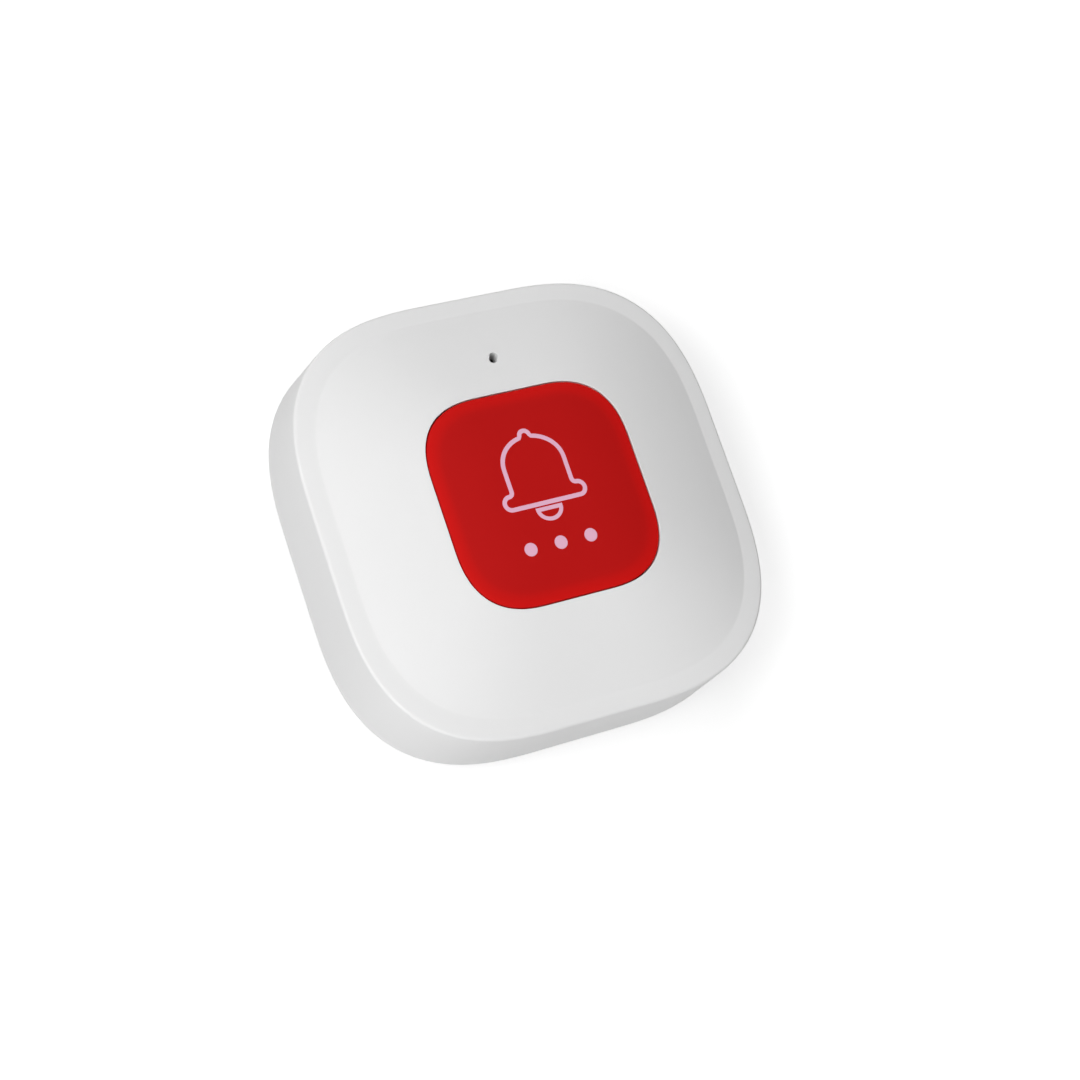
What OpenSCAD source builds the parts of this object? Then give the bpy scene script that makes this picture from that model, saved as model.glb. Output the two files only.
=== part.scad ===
// Wireless emergency call button: a rounded square white case with a raised red
// press button in the middle of its domed front and a small indicator hole above it.
// Millimetres. The case lies on its back: the origin is the centre of the back face,
// +Z points out of the front and +Y points to the indicator hole.

/* [Body] */
// Width across the widest outline
body_w = 50; // [48:0.5:56]
// Height from the back face to the top of the button
body_h = 16; // [15.6:0.1:18]
// Straight run on each side between the rounded corners
body_flat = 9.8; // [6:0.2:14]
// Fullness of the corners, where 2 is a plain arc
body_power = 2.7; // [2.2:0.05:3.2]
// Height of the widest outline above the back face
belt_z = 2.7; // [2.5:0.1:3.4]
// Thickness of the case walls
wall = 1.7; // [1.4:0.05:2]
// Lean of each side wall from the widest outline up to the rim
draft = 0.43; // [0:0.01:0.8]
// Radius along the outer edge of the rim
rim_r = 0.4; // [0.3:0.1:1.2]
// Width of the rim band, from the side wall to the crease at the foot of the dome
rim_w = 2.15; // [1.6:0.05:2.8]
// Fall of the rim band from the crease to its outer edge
rim_fall = 0.26; // [0:0.02:0.4]
// Step in the shell's inner wall that the gasket seals against
gasket_step = 0.6; // [0.4:0.05:0.8]
// Bevel inside the shell where its roof meets its wall
roof_bevel = 1.2; // [0.8:0.1:1.6]
// How deep the screw bosses run into the shell's roof
boss_root = 1.3; // [1:0.1:1.5]
// Rise of the dome from the crease to the edge of the button opening
dome_rise = 3.05; // [2.4:0.05:3.4]

/* [Button] */
// Width of the button across its outline
button_w = 23.65; // [20:0.05:25]
// Straight run on each side of the button
button_flat = 7.4; // [5:0.2:9]
// Fullness of the button's corners
button_power = 2.55; // [2.2:0.05:3]
// Height of the button's flat top above its outline
crown_rise = 0.55; // [0.3:0.05:0.8]
// Width of the crowned border around the flat top
crown_w = 8; // [2:0.1:9]
// Gap between the button and its opening
button_gap = 0.14; // [0.12:0.02:0.3]
// How far the button travels when pressed
button_travel = 0.5; // [0.3:0.05:0.6]
// Thickness of the button's top
cap_t = 1.8; // [1.4:0.1:2]
// Thickness of the button's skirt
cap_wall = 1.6; // [1.2:0.1:2]
// Reach of the retaining flange beyond the skirt
flange_reach = 1.3; // [0.9:0.1:1.6]
// Thickness of the retaining flange
flange_t = 1; // [0.8:0.1:1.2]
// Depth of the opening's wall, from the dome to the seat of the flange
seat_depth = 2; // [1.7:0.1:2.3]
// Room around the flange under its seat
seat_room = 1; // [0.6:0.1:1.2]
// Diameter of the pusher under the button
pusher_d = 5; // [4:0.2:6]
// Thickness of the ribs that stiffen the button
rib_t = 1; // [0.8:0.1:1.4]

/* [Indicator] */
// Distance of the indicator hole above the middle of the case
led_y = 16.3; // [16:0.1:17]
// Width of the indicator hole
led_hole_w = 0.9; // [0.8:0.05:1.1]
// Length of the indicator hole, away from the button
led_hole_l = 1.4; // [1.2:0.05:1.8]
// Lean of the indicator hole to the right, in degrees
led_hole_turn = 30; // [0:5:45]
// Length of the light emitter's body
led_l = 3.2; // [2.4:0.1:3.6]
// Width of the light emitter's body
led_w = 2.6; // [2.2:0.1:3]
// Height of the light emitter's body
led_h = 1.6; // [1:0.1:2]
// Diameter of the clear lens
led_lens_d = 2; // [1.4:0.1:2.1]

/* [Back cover] */
// Thickness of the cover's floor
floor_t = 2; // [1.8:0.1:2.2]
// Height of the spigot that plugs into the front shell
spigot_h = 1.5; // [1.2:0.1:2]
// Thickness of the spigot
spigot_t = 1.45; // [1.2:0.05:1.8]
// Thickness of the gasket on top of the spigot
gasket_t = 0.6; // [0.4:0.1:0.8]
// Distance of each cover screw in from the widest outline
cover_screw_inset = 9; // [8.6:0.1:9.6]
// Diameter of the cover screws
cover_screw_d = 2; // [1.8:0.1:2.2]
// Length of the cover screws under the head
cover_screw_l = 8; // [6:0.5:9]
// Diameter of the cover screw heads
cover_head_d = 3.5; // [3:0.1:3.6]
// Height of the cover screw heads
cover_head_h = 1.2; // [1:0.1:1.3]
// Depth of the cover screw heads below the back face
cover_head_z = 0.6; // [0.4:0.05:0.7]
// Clearance around the cover screw heads in their recesses
cover_recess_gap = 0.25; // [0.15:0.05:0.4]
// Room left in a screw bore past the screw's tip
screw_room = 0.5; // [0.3:0.1:0.8]
// Diameter of the shell bosses that take the cover screws
boss_d = 4.4; // [4:0.1:4.8]

/* [Battery door] */
// Room around the cell inside the door's ring
door_room = 1.25; // [0.6:0.05:1.5]
// Thickness of the door's outer flange
door_flange_t = 0.6; // [0.5:0.05:0.7]
// Thickness of the door's plate
door_t = 1.4; // [1.2:0.1:1.5]
// Depth of the door's outer face below the back face
door_recess = 0.2; // [0.1:0.05:0.3]
// Width of the ring that carries the door's lugs
door_ring_t = 1.4; // [1:0.1:1.6]
// Reach of each bayonet lug beyond the plug
lug_reach = 1.2; // [0.9:0.1:1.3]
// Thickness of each bayonet lug
lug_t = 0.8; // [0.6:0.05:0.9]
// Angle that each bayonet lug spans
lug_angle = 24; // [18:1:28]
// Angle that the door twists from locked to released
door_twist = 40; // [36:1:48]
// Width of the coin slot
coin_slot_w = 2; // [1.6:0.1:2.4]
// Length of the coin slot
coin_slot_l = 16; // [12:0.5:22]
// Depth of the coin slot
coin_slot_depth = 0.8; // [0.6:0.05:0.9]
// Width of the door's flat seal
seal_w = 0.7; // [0.5:0.05:0.75]
// Thickness of the door's flat seal
seal_t = 0.3; // [0.2:0.02:0.4]

/* [Battery] */
// Diameter of the coin cell
cell_d = 24.5; // [23:0.1:24.5]
// Height of the coin cell
cell_h = 5; // [4.5:0.1:5.2]
// Diameter of the cell's negative cap
cell_cap_d = 20.6; // [18:0.2:22]
// Step from the cell's can up to its negative cap
cell_cap_step = 0.3; // [0.2:0.05:0.4]
// Room between the cell and the circuit board for the contacts
contact_room = 1.2; // [1:0.1:1.4]
// Thickness of the battery holder's ring
holder_t = 1.35; // [1.1:0.05:1.5]
// Width of the ledge in the holder above the cell's shoulder
holder_ledge = 1; // [0.6:0.1:1.2]
// Height of the holder's ring left open above the door's lugs
holder_gap = 0.3; // [0.2:0.05:0.5]
// Thickness of the contact strips
strip_t = 0.25; // [0.2:0.05:0.3]
// Width of the contact strips
strip_w = 4; // [3:0.2:5]
// Length of the contacts' soldered feet
contact_foot_l = 2.6; // [2:0.1:2.8]
// Bow of the positive contact towards the can
contact_bow = 0.15; // [0.1:0.05:0.2]
// Half length of the negative contact's flat tip
contact_tip = 1; // [0.6:0.1:2]
// Bevel around the rims of the coin cell
cell_bevel = 0.4; // [0.2:0.05:0.5]

/* [Circuit board] */
// Thickness of the circuit board
board_t = 1; // [0.8:0.1:1.2]
// Distance of the board's edge in from the widest outline
board_inset = 4.5; // [4:0.1:5]
// Distance of each board screw in from the widest outline
board_screw_inset = 7.7; // [7.5:0.1:8]
// Diameter of the board screws
board_screw_d = 1.6; // [1.4:0.1:1.8]
// Length of the board screws under the head
board_screw_l = 3.4; // [2.8:0.1:3.6]
// Diameter of the board screw heads
board_head_d = 3; // [2.6:0.1:3.2]
// Height of the board screw heads
board_head_h = 1; // [0.8:0.1:1.2]
// Diameter of the shell bosses that carry the board
board_boss_d = 3.8; // [3.4:0.1:4]

/* [Switch] */
// Width of the switch base
switch_w = 6; // [5.6:0.1:6.4]
// Thickness of the switch base under its well
switch_floor_t = 1; // [0.8:0.05:1.1]
// Height of the snap dome that is left when it is pressed flat
snap_spare = 0.35; // [0.2:0.05:0.4]
// Diameter of the well in the switch base
switch_well_d = 4.8; // [4.6:0.1:5]
// Thickness of the switch cover plate
switch_plate_t = 0.3; // [0.2:0.05:0.4]
// Diameter of the plunger's stem
plunger_d = 3.4; // [3:0.1:3.5]
// Height of the plunger above the cover plate when it is pressed
plunger_spare = 0.5; // [0.4:0.05:0.6]
// Thickness of the plunger's collar
plunger_collar_t = 0.85; // [0.7:0.05:0.9]
// Reach of the switch terminals beyond the base
terminal_l = 1.4; // [1:0.1:1.5]
// Width of the switch terminals
terminal_w = 0.7; // [0.5:0.05:0.9]
// Thickness of the switch terminals
terminal_t = 0.2; // [0.15:0.05:0.3]
// Height of the switch terminals up the side of the base
terminal_h = 1; // [0.6:0.1:1.4]
// Distance of the switch terminals from the middle of their side
terminal_y = 2.15; // [1.8:0.05:2.3]
// Thickness of the snap dome's sheet
snap_t = 0.1; // [0.08:0.01:0.14]

/* [Radio] */
// Length of the radio board
radio_l = 14; // [12:0.5:16]
// Width of the radio board
radio_w = 9; // [8:0.2:9.4]
// Thickness of the radio board
radio_t = 0.8; // [0.6:0.1:0.9]
// Margin of the radio board around the pieces on it
radio_margin = 0.7; // [0.4:0.1:0.9]
// Length of the antenna
antenna_l = 5; // [4:0.2:6]
// Width of the antenna
antenna_w = 2; // [1.2:0.1:2.4]
// Height of the antenna
antenna_h = 1; // [0.6:0.1:1.4]
// Height of the shield can
shield_h = 1.5; // [1.2:0.1:1.6]
// Thickness of the shield can's sheet
shield_t = 0.2; // [0.15:0.05:0.3]

/* [Small parts] */
// Length, width and height of the controller chip
controller_size = [5, 5, 0.9]; // [0.5:0.1:6]
// Length, width and height of the crystal
crystal_size = [3.2, 2.5, 0.8]; // [0.5:0.1:4]
// Length, width and height of the voltage regulator's body
regulator_size = [2.9, 1.6, 0.9]; // [0.5:0.1:4]
// Length, width and height of one regulator lead
lead_size = [0.4, 0.6, 0.25]; // [0.2:0.05:1]
// Length, width and height of the bulk capacitor
capacitor_size = [6, 3.2, 2.3]; // [1:0.1:7]
// Length, width and height of one chip resistor
resistor_size = [1.6, 0.8, 0.6]; // [0.4:0.1:2]
// Gap between neighbouring small parts
part_gap = 1; // [0.6:0.1:1.2]

/* [Fits] */
// Clearance of fixed pieces that plug together
fit_gap = 0.1; // [0.05:0.01:0.15]
// Clearance of a screw thread in its boss
thread_gap = 0.02; // [0.01:0.01:0.05]
// Clearance of a sliding stem or a twisting plug in its hole
slide_gap = 0.06; // [0.03:0.01:0.1]
// Rest gap between pieces that press on one another
touch_gap = 0.05; // [0.03:0.01:0.08]

/* [Hidden] */
$fn = 64;
eps = 0.01;
through = 40;
corner_steps = 15;
// Largest share of a side that may run straight
run_share = 0.8;
body_half = body_w / 2;
button_half = button_w / 2;
// Heights of the front
edge_z = body_h - crown_rise;
rim_z = edge_z - dome_rise;
rim_half = body_half - draft;
crease_half = rim_half - rim_w;
open_half = button_half + button_gap;
apex_rise = dome_rise / (1 - pow(open_half / crease_half, 2));
seat_z = edge_z - seat_depth;
// The button's flange and hollow
flange_half = button_half + flange_reach;
flange_top = seat_z - 2 * touch_gap;
flange_z = flange_top - flange_t;
cap_under_z = body_h - cap_t;
// The joint between the front shell and the back cover
spigot_top = belt_z + spigot_h;
gasket_seat_z = spigot_top + gasket_t;
inner_half = rim_half - wall;
socket_half = inner_half + gasket_step;
spigot_half = socket_half - fit_gap;
back_half = body_half - belt_z;
spigot_inner = spigot_half - spigot_t;
cover_screw_xy = body_half - cover_screw_inset;
cover_seat_z = cover_head_z + cover_head_h;
// The stack from the back face up to the plunger
door_floor_z = door_recess + door_t;
door_flange_top = door_recess + door_flange_t;
lip_z = door_flange_top + seal_t + touch_gap / 2;
lug_z = floor_t + 2 * touch_gap;
lug_top = lug_z + lug_t;
cell_z = door_floor_z + 2 * touch_gap;
cell_top = cell_z + cell_h;
board_z = cell_top + contact_room;
board_top = board_z + board_t;
board_half = body_half - board_inset;
board_screw_r = body_half - board_screw_inset;
board_screw_turns = [180, 270, 360];
well_z = board_top + switch_floor_t;
snap_rise = button_travel + snap_spare;
collar_z = well_z + snap_rise + snap_t + touch_gap;
collar_top = collar_z + plunger_collar_t;
plate_z = collar_top + 3 * touch_gap;
plate_top = plate_z + switch_plate_t;
switch_base_h = plate_z - board_top;
plunger_top = plate_top + button_travel + plunger_spare;
pusher_z = plunger_top + touch_gap;
door_ring_r = cell_d / 2 + door_room;
door_r = door_ring_r + door_ring_t;
door_opening_r = door_r + slide_gap;
lug_r = door_r + lug_reach;
notch_r = lug_r + 2 * fit_gap;
notch_angle = lug_angle + 4;
stop_angle = 4;
seal_r = notch_r + fit_gap + seal_w;
door_flange_r = seal_r + fit_gap;
lug_turns = [0, 120, 240];
// The radio stands on the right of the switch and the small parts on its left
radio_x = switch_w / 2 + terminal_l + part_gap / 2 + radio_w / 2;
radio_top = board_top + radio_t;
shield_l = radio_l - antenna_w - 3 * radio_margin;
shield_w = radio_w - 2 * radio_margin;
column_x = -switch_w / 2 - terminal_l - part_gap - max(controller_size[0], capacitor_size[0]) / 2;
crystal_y = 0;
controller_y = crystal_y - crystal_size[1] / 2 - part_gap - controller_size[1] / 2;
regulator_y = crystal_y + crystal_size[1] / 2 + part_gap + lead_size[1] + regulator_size[1] / 2;
capacitor_y = regulator_y + regulator_size[1] / 2 + lead_size[1] + part_gap + capacitor_size[1] / 2;
holder_r = cell_d / 2 + 2 * fit_gap;
holder_z = lug_top + holder_gap;
contact_x = holder_r + fit_gap;
// The positive contact stands halfway between two board screws
contact_turn = (board_screw_turns[0] + board_screw_turns[1]) / 2;

// The rounded square family that every outline belongs to: straight run and corner
// fullness change evenly from the button's outline out to the widest outline.
function share(h) = (h - button_half) / (body_half - button_half);
function run_at(h) = min(run_share * h, (button_flat + (body_flat - button_flat) * share(h)) / 2);
function power_at(h) = button_power + (body_power - button_power) * share(h);
function quarter(p, turn) = turn == 0 ? p : quarter([-p[1], p[0]], turn - 1);
function outline(h) = [
    for (turn = [0:3], step = [0:corner_steps])
        let (a = 90 * step / corner_steps, e = 2 / power_at(h), run = run_at(h), r = h - run)
            quarter([run + r * pow(cos(a), e), run + r * pow(sin(a), e)], turn)
];

// Half size of the outline that passes through a point on the diagonal
function diagonal_half(d) = let (run = run_at(d)) run + (d - run) / pow(0.5, 1 / body_power);

// Height of the domed front at a given outline
function dome_z(h) = rim_z + apex_rise * (1 - pow(h / crease_half, 2));

// Height of the button's top at a given outline
function crown_z(h) = body_h - crown_rise * pow(max(0, h - button_half + crown_w) / crown_w, 2);

// Points [half size, height] along an arc about a centre
function arc_points(h, z, rh, rz, from, to, steps) = [
    for (i = [0:steps]) let (a = from + (to - from) * i / steps) [h + rh * cos(a), z + rz * sin(a)]
];

// Solid swept through outlines given as [half size, height], seen with the inside on
// the left. A looped profile is a ring, and any other profile is closed by flat ends.
module outline_sweep(profile, looped) {
    n = 4 * (corner_steps + 1);
    rows = len(profile);
    points = [for (s = profile) for (p = outline(s[0])) [p[0], p[1], s[1]]];
    last = looped ? rows - 1 : rows - 2;
    sides = [
        for (i = [0:last], j = [0:n - 1])
            let (up = (i + 1) % rows * n, next = (j + 1) % n)
                each [[i * n + j, up + j, up + next], [i * n + j, up + next, i * n + next]]
    ];
    ends = looped ? [] : [[for (j = [0:n - 1]) j], [for (j = [0:n - 1]) rows * n - 1 - j]];
    polyhedron(points, concat(sides, ends));
}

// Straight-sided slab of one outline
module outline_slab(h, z0, z1) {
    translate([0, 0, z0])
        linear_extrude(z1 - z0)
            polygon(outline(h));
}

module rod(r, z0, z1) {
    translate([0, 0, z0])
        cylinder(r = r, h = z1 - z0);
}

module block(size, centre, z0) {
    translate([centre[0] - size[0] / 2, centre[1] - size[1] / 2, z0])
        cube(size);
}

// Copies at the four cover screws
module at_cover_screws() {
    for (x = [-1, 1], y = [-1, 1])
        translate([x * cover_screw_xy, y * cover_screw_xy, 0])
            children();
}

// Copies at the three board screws, clear of the light emitter
module at_board_screws() {
    for (a = board_screw_turns)
        rotate(a)
            translate([board_screw_r, 0, 0])
                children();
}

// Wedge about the middle axis, used to cut sectors out of turned shapes
module sector(middle, span, z0, z1) {
    rotate(middle)
        translate([0, 0, z0])
            linear_extrude(z1 - z0)
                polygon([[0, 0], [body_w, -body_w * tan(span / 2)], [body_w, body_w * tan(span / 2)]]);
}

// Front shell

// Round-ended hole that lets the indicator's light out
module indicator_hole() {
    run = led_hole_l - led_hole_w;
    for (y = [-1, 1])
        translate([0, y * run / 2, 0])
            rod(led_hole_w / 2, board_top, through);
    block([led_hole_w, run, through - board_top], [0, 0], board_top);
}

// The screw bosses give way to the room in which the button's flange travels
module front_shell() {
    cover_boss_top = dome_z(diagonal_half(cover_screw_xy + boss_d / 2 * sqrt(0.5))) - wall + boss_root;
    board_boss_top = dome_z(board_screw_r + board_boss_d / 2) - wall + boss_root;
    cover_bore_top = cover_seat_z + cover_screw_l + screw_room;
    board_bore_top = board_z + board_screw_l + screw_room / 2;
    dome_steps = 6;
    seat_half = flange_half + seat_room;
    roof_half = inner_half - roof_bevel;
    profile = concat(
        [[body_half, belt_z]],
        arc_points(rim_half - rim_r, rim_z - rim_fall - rim_r, rim_r, rim_r, 0, 90, 5),
        [for (i = [0:dome_steps])
            let (h = crease_half + (open_half - crease_half) * i / dome_steps) [h, dome_z(h)]],
        [[open_half, seat_z], [seat_half, seat_z]],
        [for (i = [0:4]) let (h = seat_half + (roof_half - seat_half) * i / 4) [h, dome_z(h) - wall]],
        [[inner_half, dome_z(roof_half) - wall - roof_bevel], [inner_half, gasket_seat_z],
            [socket_half, gasket_seat_z], [socket_half, belt_z]]
    );
    color("white")
        difference() {
            union() {
                outline_sweep(profile, true);
                difference() {
                    union() {
                        at_cover_screws() rod(boss_d / 2, spigot_top, cover_boss_top);
                        at_board_screws() rod(board_boss_d / 2, board_top, board_boss_top);
                    }
                    outline_slab(seat_half, flange_z - button_travel - 2 * touch_gap, seat_z);
                }
            }
            at_cover_screws()
                rod(cover_screw_d / 2 + thread_gap, spigot_top - eps, cover_bore_top);
            at_board_screws()
                rod(board_screw_d / 2 + thread_gap, board_top - eps, board_bore_top);
            translate([0, led_y, 0]) rotate(-led_hole_turn) indicator_hole();
        }
}

// Back cover and its fixings

module back_cover() {
    profile = concat(
        arc_points(back_half, belt_z, belt_z, belt_z, -90, 0, 6),
        [[spigot_half, belt_z], [spigot_half, spigot_top],
            [spigot_inner, spigot_top], [spigot_inner, floor_t]]
    );
    color("white")
        difference() {
            union() {
                outline_sweep(profile, false);
                at_cover_screws() rod(boss_d / 2, floor_t - eps, spigot_top);
                for (a = lug_turns)
                    intersection() {
                        difference() {
                            rod(notch_r, floor_t - eps, lug_top);
                            rod(door_opening_r + fit_gap, 0, through);
                        }
                        sector(a + lug_angle / 2 + stop_angle, stop_angle, 0, through);
                    }
            }
            rod(door_flange_r + 2 * fit_gap, -eps, lip_z);
            rod(door_opening_r, -eps, floor_t + eps);
            for (a = lug_turns)
                intersection() {
                    rod(notch_r, lip_z - eps, floor_t + eps);
                    sector(a - door_twist, notch_angle, 0, through);
                }
            at_cover_screws() rod(cover_head_d / 2 + cover_recess_gap, -eps, cover_seat_z);
            at_cover_screws() rod(cover_screw_d / 2 + fit_gap, -eps, spigot_top + eps);
        }
}

module cover_gasket() {
    color("dimgray")
        difference() {
            outline_slab(spigot_half, spigot_top, gasket_seat_z);
            outline_slab(spigot_inner, spigot_top - eps, gasket_seat_z + eps);
        }
}

// Round-headed screw with a cross recess, head down
module machine_screw(d, l, head_d, head_h, seat_z) {
    slot_w = head_d * 0.2;
    slot_l = head_d * 0.6;
    difference() {
        union() {
            rod(head_d / 2, seat_z - head_h, seat_z);
            rod(d / 2, seat_z - eps, seat_z + l);
        }
        block([slot_w, slot_l, head_h / 2 + eps], [0, 0], seat_z - head_h - eps);
        block([slot_l, slot_w, head_h / 2 + eps], [0, 0], seat_z - head_h - eps);
    }
}

module cover_screws() {
    color("silver")
        at_cover_screws()
            machine_screw(cover_screw_d, cover_screw_l, cover_head_d, cover_head_h, cover_seat_z);
}

// Circuit board and the pieces soldered to it

module circuit_board() {
    color("darkgreen")
        difference() {
            outline_slab(board_half, board_z, board_top);
            at_cover_screws() rod(boss_d / 2 + 3 * fit_gap, board_z - eps, board_top + eps);
            at_board_screws() rod(board_screw_d / 2 + fit_gap, board_z - eps, board_top + eps);
        }
}

module board_screws() {
    color("silver")
        at_board_screws()
            machine_screw(board_screw_d, board_screw_l, board_head_d, board_head_h, board_z);
}

module radio_board() {
    color("navy")
        block([radio_w, radio_l, radio_t], [radio_x, 0], board_top);
}

module radio_shield_can() {
    centre = [radio_x, (shield_l - radio_l) / 2 + radio_margin];
    inside = [shield_w - 2 * shield_t, shield_l - 2 * shield_t, shield_h - shield_t + eps];
    color("silver")
        difference() {
            block([shield_w, shield_l, shield_h], centre, radio_top);
            block(inside, centre, radio_top - eps);
        }
}

module chip_antenna() {
    centre = [radio_x, (radio_l - antenna_w) / 2 - radio_margin];
    color("lightblue")
        block([antenna_l, antenna_w, antenna_h], centre, radio_top);
}

module controller_chip() {
    color("black")
        block(controller_size, [column_x, controller_y], board_top);
}

module clock_crystal() {
    color("silver")
        block(crystal_size, [column_x, crystal_y], board_top);
}

// Three-legged regulator, its body held just clear of the board by its leads
module voltage_regulator() {
    lead_reach = (regulator_size[1] + lead_size[1]) / 2;
    color("black") {
        block(regulator_size, [column_x, regulator_y], board_top + lead_size[2] / 2);
        for (x = [-1, 1])
            block(lead_size, [column_x + x * regulator_size[0] / 3, regulator_y - lead_reach], board_top);
        block(lead_size, [column_x, regulator_y + lead_reach], board_top);
    }
}

module bulk_capacitor() {
    color("goldenrod")
        block(capacitor_size, [column_x, capacitor_y], board_top);
}

module chip_passives() {
    pitch = resistor_size[1] + part_gap;
    first_y = -switch_w / 2 - 2 * part_gap;
    color("tan")
        for (side = [-1, 1], row = [0:2])
            block(resistor_size, [side * resistor_size[0], first_y - row * pitch], board_top);
}

module led_body() {
    color("ivory")
        difference() {
            block([led_l, led_w, led_h], [0, led_y], board_top);
            translate([0, led_y, 0]) rod(led_lens_d / 2, board_top + led_h / 2, board_top + led_h + eps);
        }
}

module led_lens() {
    color("lightcyan")
        translate([0, led_y, 0]) rod(led_lens_d / 2, board_top + led_h / 2, board_top + led_h);
}

// Push switch in the middle of the board

module switch_base() {
    color("dimgray")
        difference() {
            block([switch_w, switch_w, switch_base_h], [0, 0], board_top);
            rod(switch_well_d / 2, well_z, plate_z + eps);
        }
}

module switch_terminals() {
    color("silver")
        for (x = [-1, 1], y = [-1, 1])
            translate([x * switch_w / 2, y * terminal_y, 0]) {
                block([terminal_l, terminal_w, terminal_t], [x * terminal_l / 2, 0], board_top);
                block([terminal_t, terminal_w, terminal_h], [x * terminal_t / 2, 0], board_top);
            }
}

module switch_cover_plate() {
    tab = [switch_w / 3, switch_plate_t, switch_base_h / 2];
    color("silver")
        difference() {
            union() {
                block([switch_w, switch_w, switch_plate_t], [0, 0], plate_z);
                for (y = [-1, 1]) {
                    shift = y * (switch_w + tab[1]) / 2;
                    block([tab[0], tab[1], tab[2] + switch_plate_t], [0, shift], plate_z - tab[2]);
                }
            }
            rod(plunger_d / 2 + slide_gap, plate_z - eps, plate_top + eps);
        }
}

// Sprung steel disc that snaps down under the plunger and lifts it again
module switch_dome() {
    foot_r = switch_well_d / 2 - 2 * fit_gap;
    sphere_r = (foot_r * foot_r + snap_rise * snap_rise) / (2 * snap_rise);
    half_angle = asin(foot_r / sphere_r);
    outer = [for (i = [0:8]) let (a = half_angle * i / 8) sphere_r * [sin(a), cos(a)]];
    inner = [for (i = [8:-1:0]) let (a = half_angle * i / 8) (sphere_r - snap_t) * [sin(a), cos(a)]];
    color("gainsboro")
        translate([0, 0, well_z + snap_rise - sphere_r + snap_t])
            intersection() {
                rotate_extrude() polygon(concat(outer, inner));
                rod(foot_r, sphere_r - snap_rise - snap_t, sphere_r + snap_t);
            }
}

module switch_plunger() {
    collar_r = switch_well_d / 2 - 2 * fit_gap;
    color("black") {
        rod(collar_r, collar_z, collar_top);
        rod(plunger_d / 2, collar_top - eps, plunger_top);
    }
}

// Battery, holder and contacts

// The ring is relieved around the board screw heads and open where the positive contact stands
module battery_holder() {
    slot_w = strip_w + 4 * fit_gap;
    color("black")
        difference() {
            rod(holder_r + holder_t, holder_z, board_z);
            rod(holder_r, holder_z - eps, cell_top + fit_gap);
            rod(holder_r - holder_ledge, holder_z - eps, board_z + eps);
            rotate(contact_turn)
                block([3 * holder_t + holder_ledge, slot_w, through], [holder_r, 0], 0);
            at_board_screws()
                rod(board_head_d / 2 + fit_gap, board_z - board_head_h - fit_gap, board_z + eps);
        }
}

// Strip that springs against the side of the can, folded out flat under the board
module positive_contact() {
    bow_z = cell_z + cell_h / 2;
    bow_t = strip_t + contact_bow;
    foot_x = contact_x + contact_foot_l / 2;
    color("gold")
        rotate(contact_turn) {
            block([strip_t, strip_w, board_z - bow_z], [contact_x + strip_t / 2, 0], bow_z);
            block([contact_foot_l, strip_w, strip_t], [foot_x, 0], board_z - strip_t);
            block([bow_t, strip_w, 4 * strip_t], [contact_x + strip_t - bow_t / 2, 0], bow_z);
        }
}

// Strip that slopes down from the board to press on the middle of the cell
module negative_contact() {
    bend_x = cell_cap_d / 3;
    end_x = bend_x + contact_foot_l;
    low = cell_top + touch_gap;
    color("gold")
        translate([0, strip_w / 2, 0])
            rotate([90, 0, 0])
                linear_extrude(strip_w)
                    polygon([
                        [end_x, board_z], [bend_x, board_z], [contact_tip, low + strip_t],
                        [-contact_tip, low + strip_t], [-contact_tip, low], [contact_tip, low],
                        [bend_x + strip_t / 2, board_z - strip_t], [end_x, board_z - strip_t]
                    ]);
}

module coin_cell() {
    r = cell_d / 2;
    cap_r = cell_cap_d / 2;
    shoulder = cell_top - cell_cap_step;
    color("silver")
        rotate_extrude()
            polygon([
                [0, cell_z], [r - cell_bevel, cell_z], [r, cell_z + cell_bevel],
                [r, shoulder - cell_bevel], [r - cell_bevel, shoulder], [cap_r, shoulder],
                [cap_r - cell_bevel / 2, cell_top], [0, cell_top]
            ]);
}

// Button

module call_button() {
    skirt_half = button_half - cap_wall;
    crown_steps = 6;
    profile = concat(
        [[flange_half, flange_z], [flange_half, flange_top], [button_half, flange_top]],
        [for (i = [0:crown_steps])
            let (h = button_half - crown_w * i / crown_steps) [h, crown_z(h)]]
    );
    color("crimson") {
        difference() {
            outline_sweep(profile, false);
            outline_slab(skirt_half, flange_z - eps, cap_under_z);
        }
        rod(pusher_d / 2, pusher_z, cap_under_z + eps);
        for (a = [45, 135])
            rotate(a)
                difference() {
                    block([2 * skirt_half, rib_t, cap_under_z - pusher_z + eps], [0, 0], pusher_z);
                    rod(pusher_d / 2 - rib_t / 2, pusher_z - eps, through);
                }
    }
}

// Battery door

module battery_door() {
    color("white")
        difference() {
            union() {
                rod(door_flange_r, door_recess, door_flange_top);
                rod(door_r, door_recess, lug_top);
                for (a = lug_turns)
                    intersection() {
                        rod(lug_r, lug_z, lug_top);
                        sector(a, lug_angle, 0, through);
                    }
            }
            rod(door_ring_r, door_floor_z, through);
            block([coin_slot_l, coin_slot_w, coin_slot_depth + eps], [0, 0], door_recess - eps);
        }
}

module door_seal() {
    color("dimgray")
        difference() {
            rod(seal_r, door_flange_top, door_flange_top + seal_t);
            rod(seal_r - seal_w, door_flange_top - eps, door_flange_top + seal_t + eps);
        }
}

front_shell();
back_cover();
cover_gasket();
cover_screws();
circuit_board();
board_screws();
radio_board();
radio_shield_can();
chip_antenna();
controller_chip();
clock_crystal();
voltage_regulator();
bulk_capacitor();
chip_passives();
led_body();
led_lens();
switch_base();
switch_terminals();
switch_cover_plate();
switch_dome();
battery_holder();
positive_contact();
negative_contact();
coin_cell();
call_button();
switch_plunger();
battery_door();
door_seal();
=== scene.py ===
import math

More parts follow.
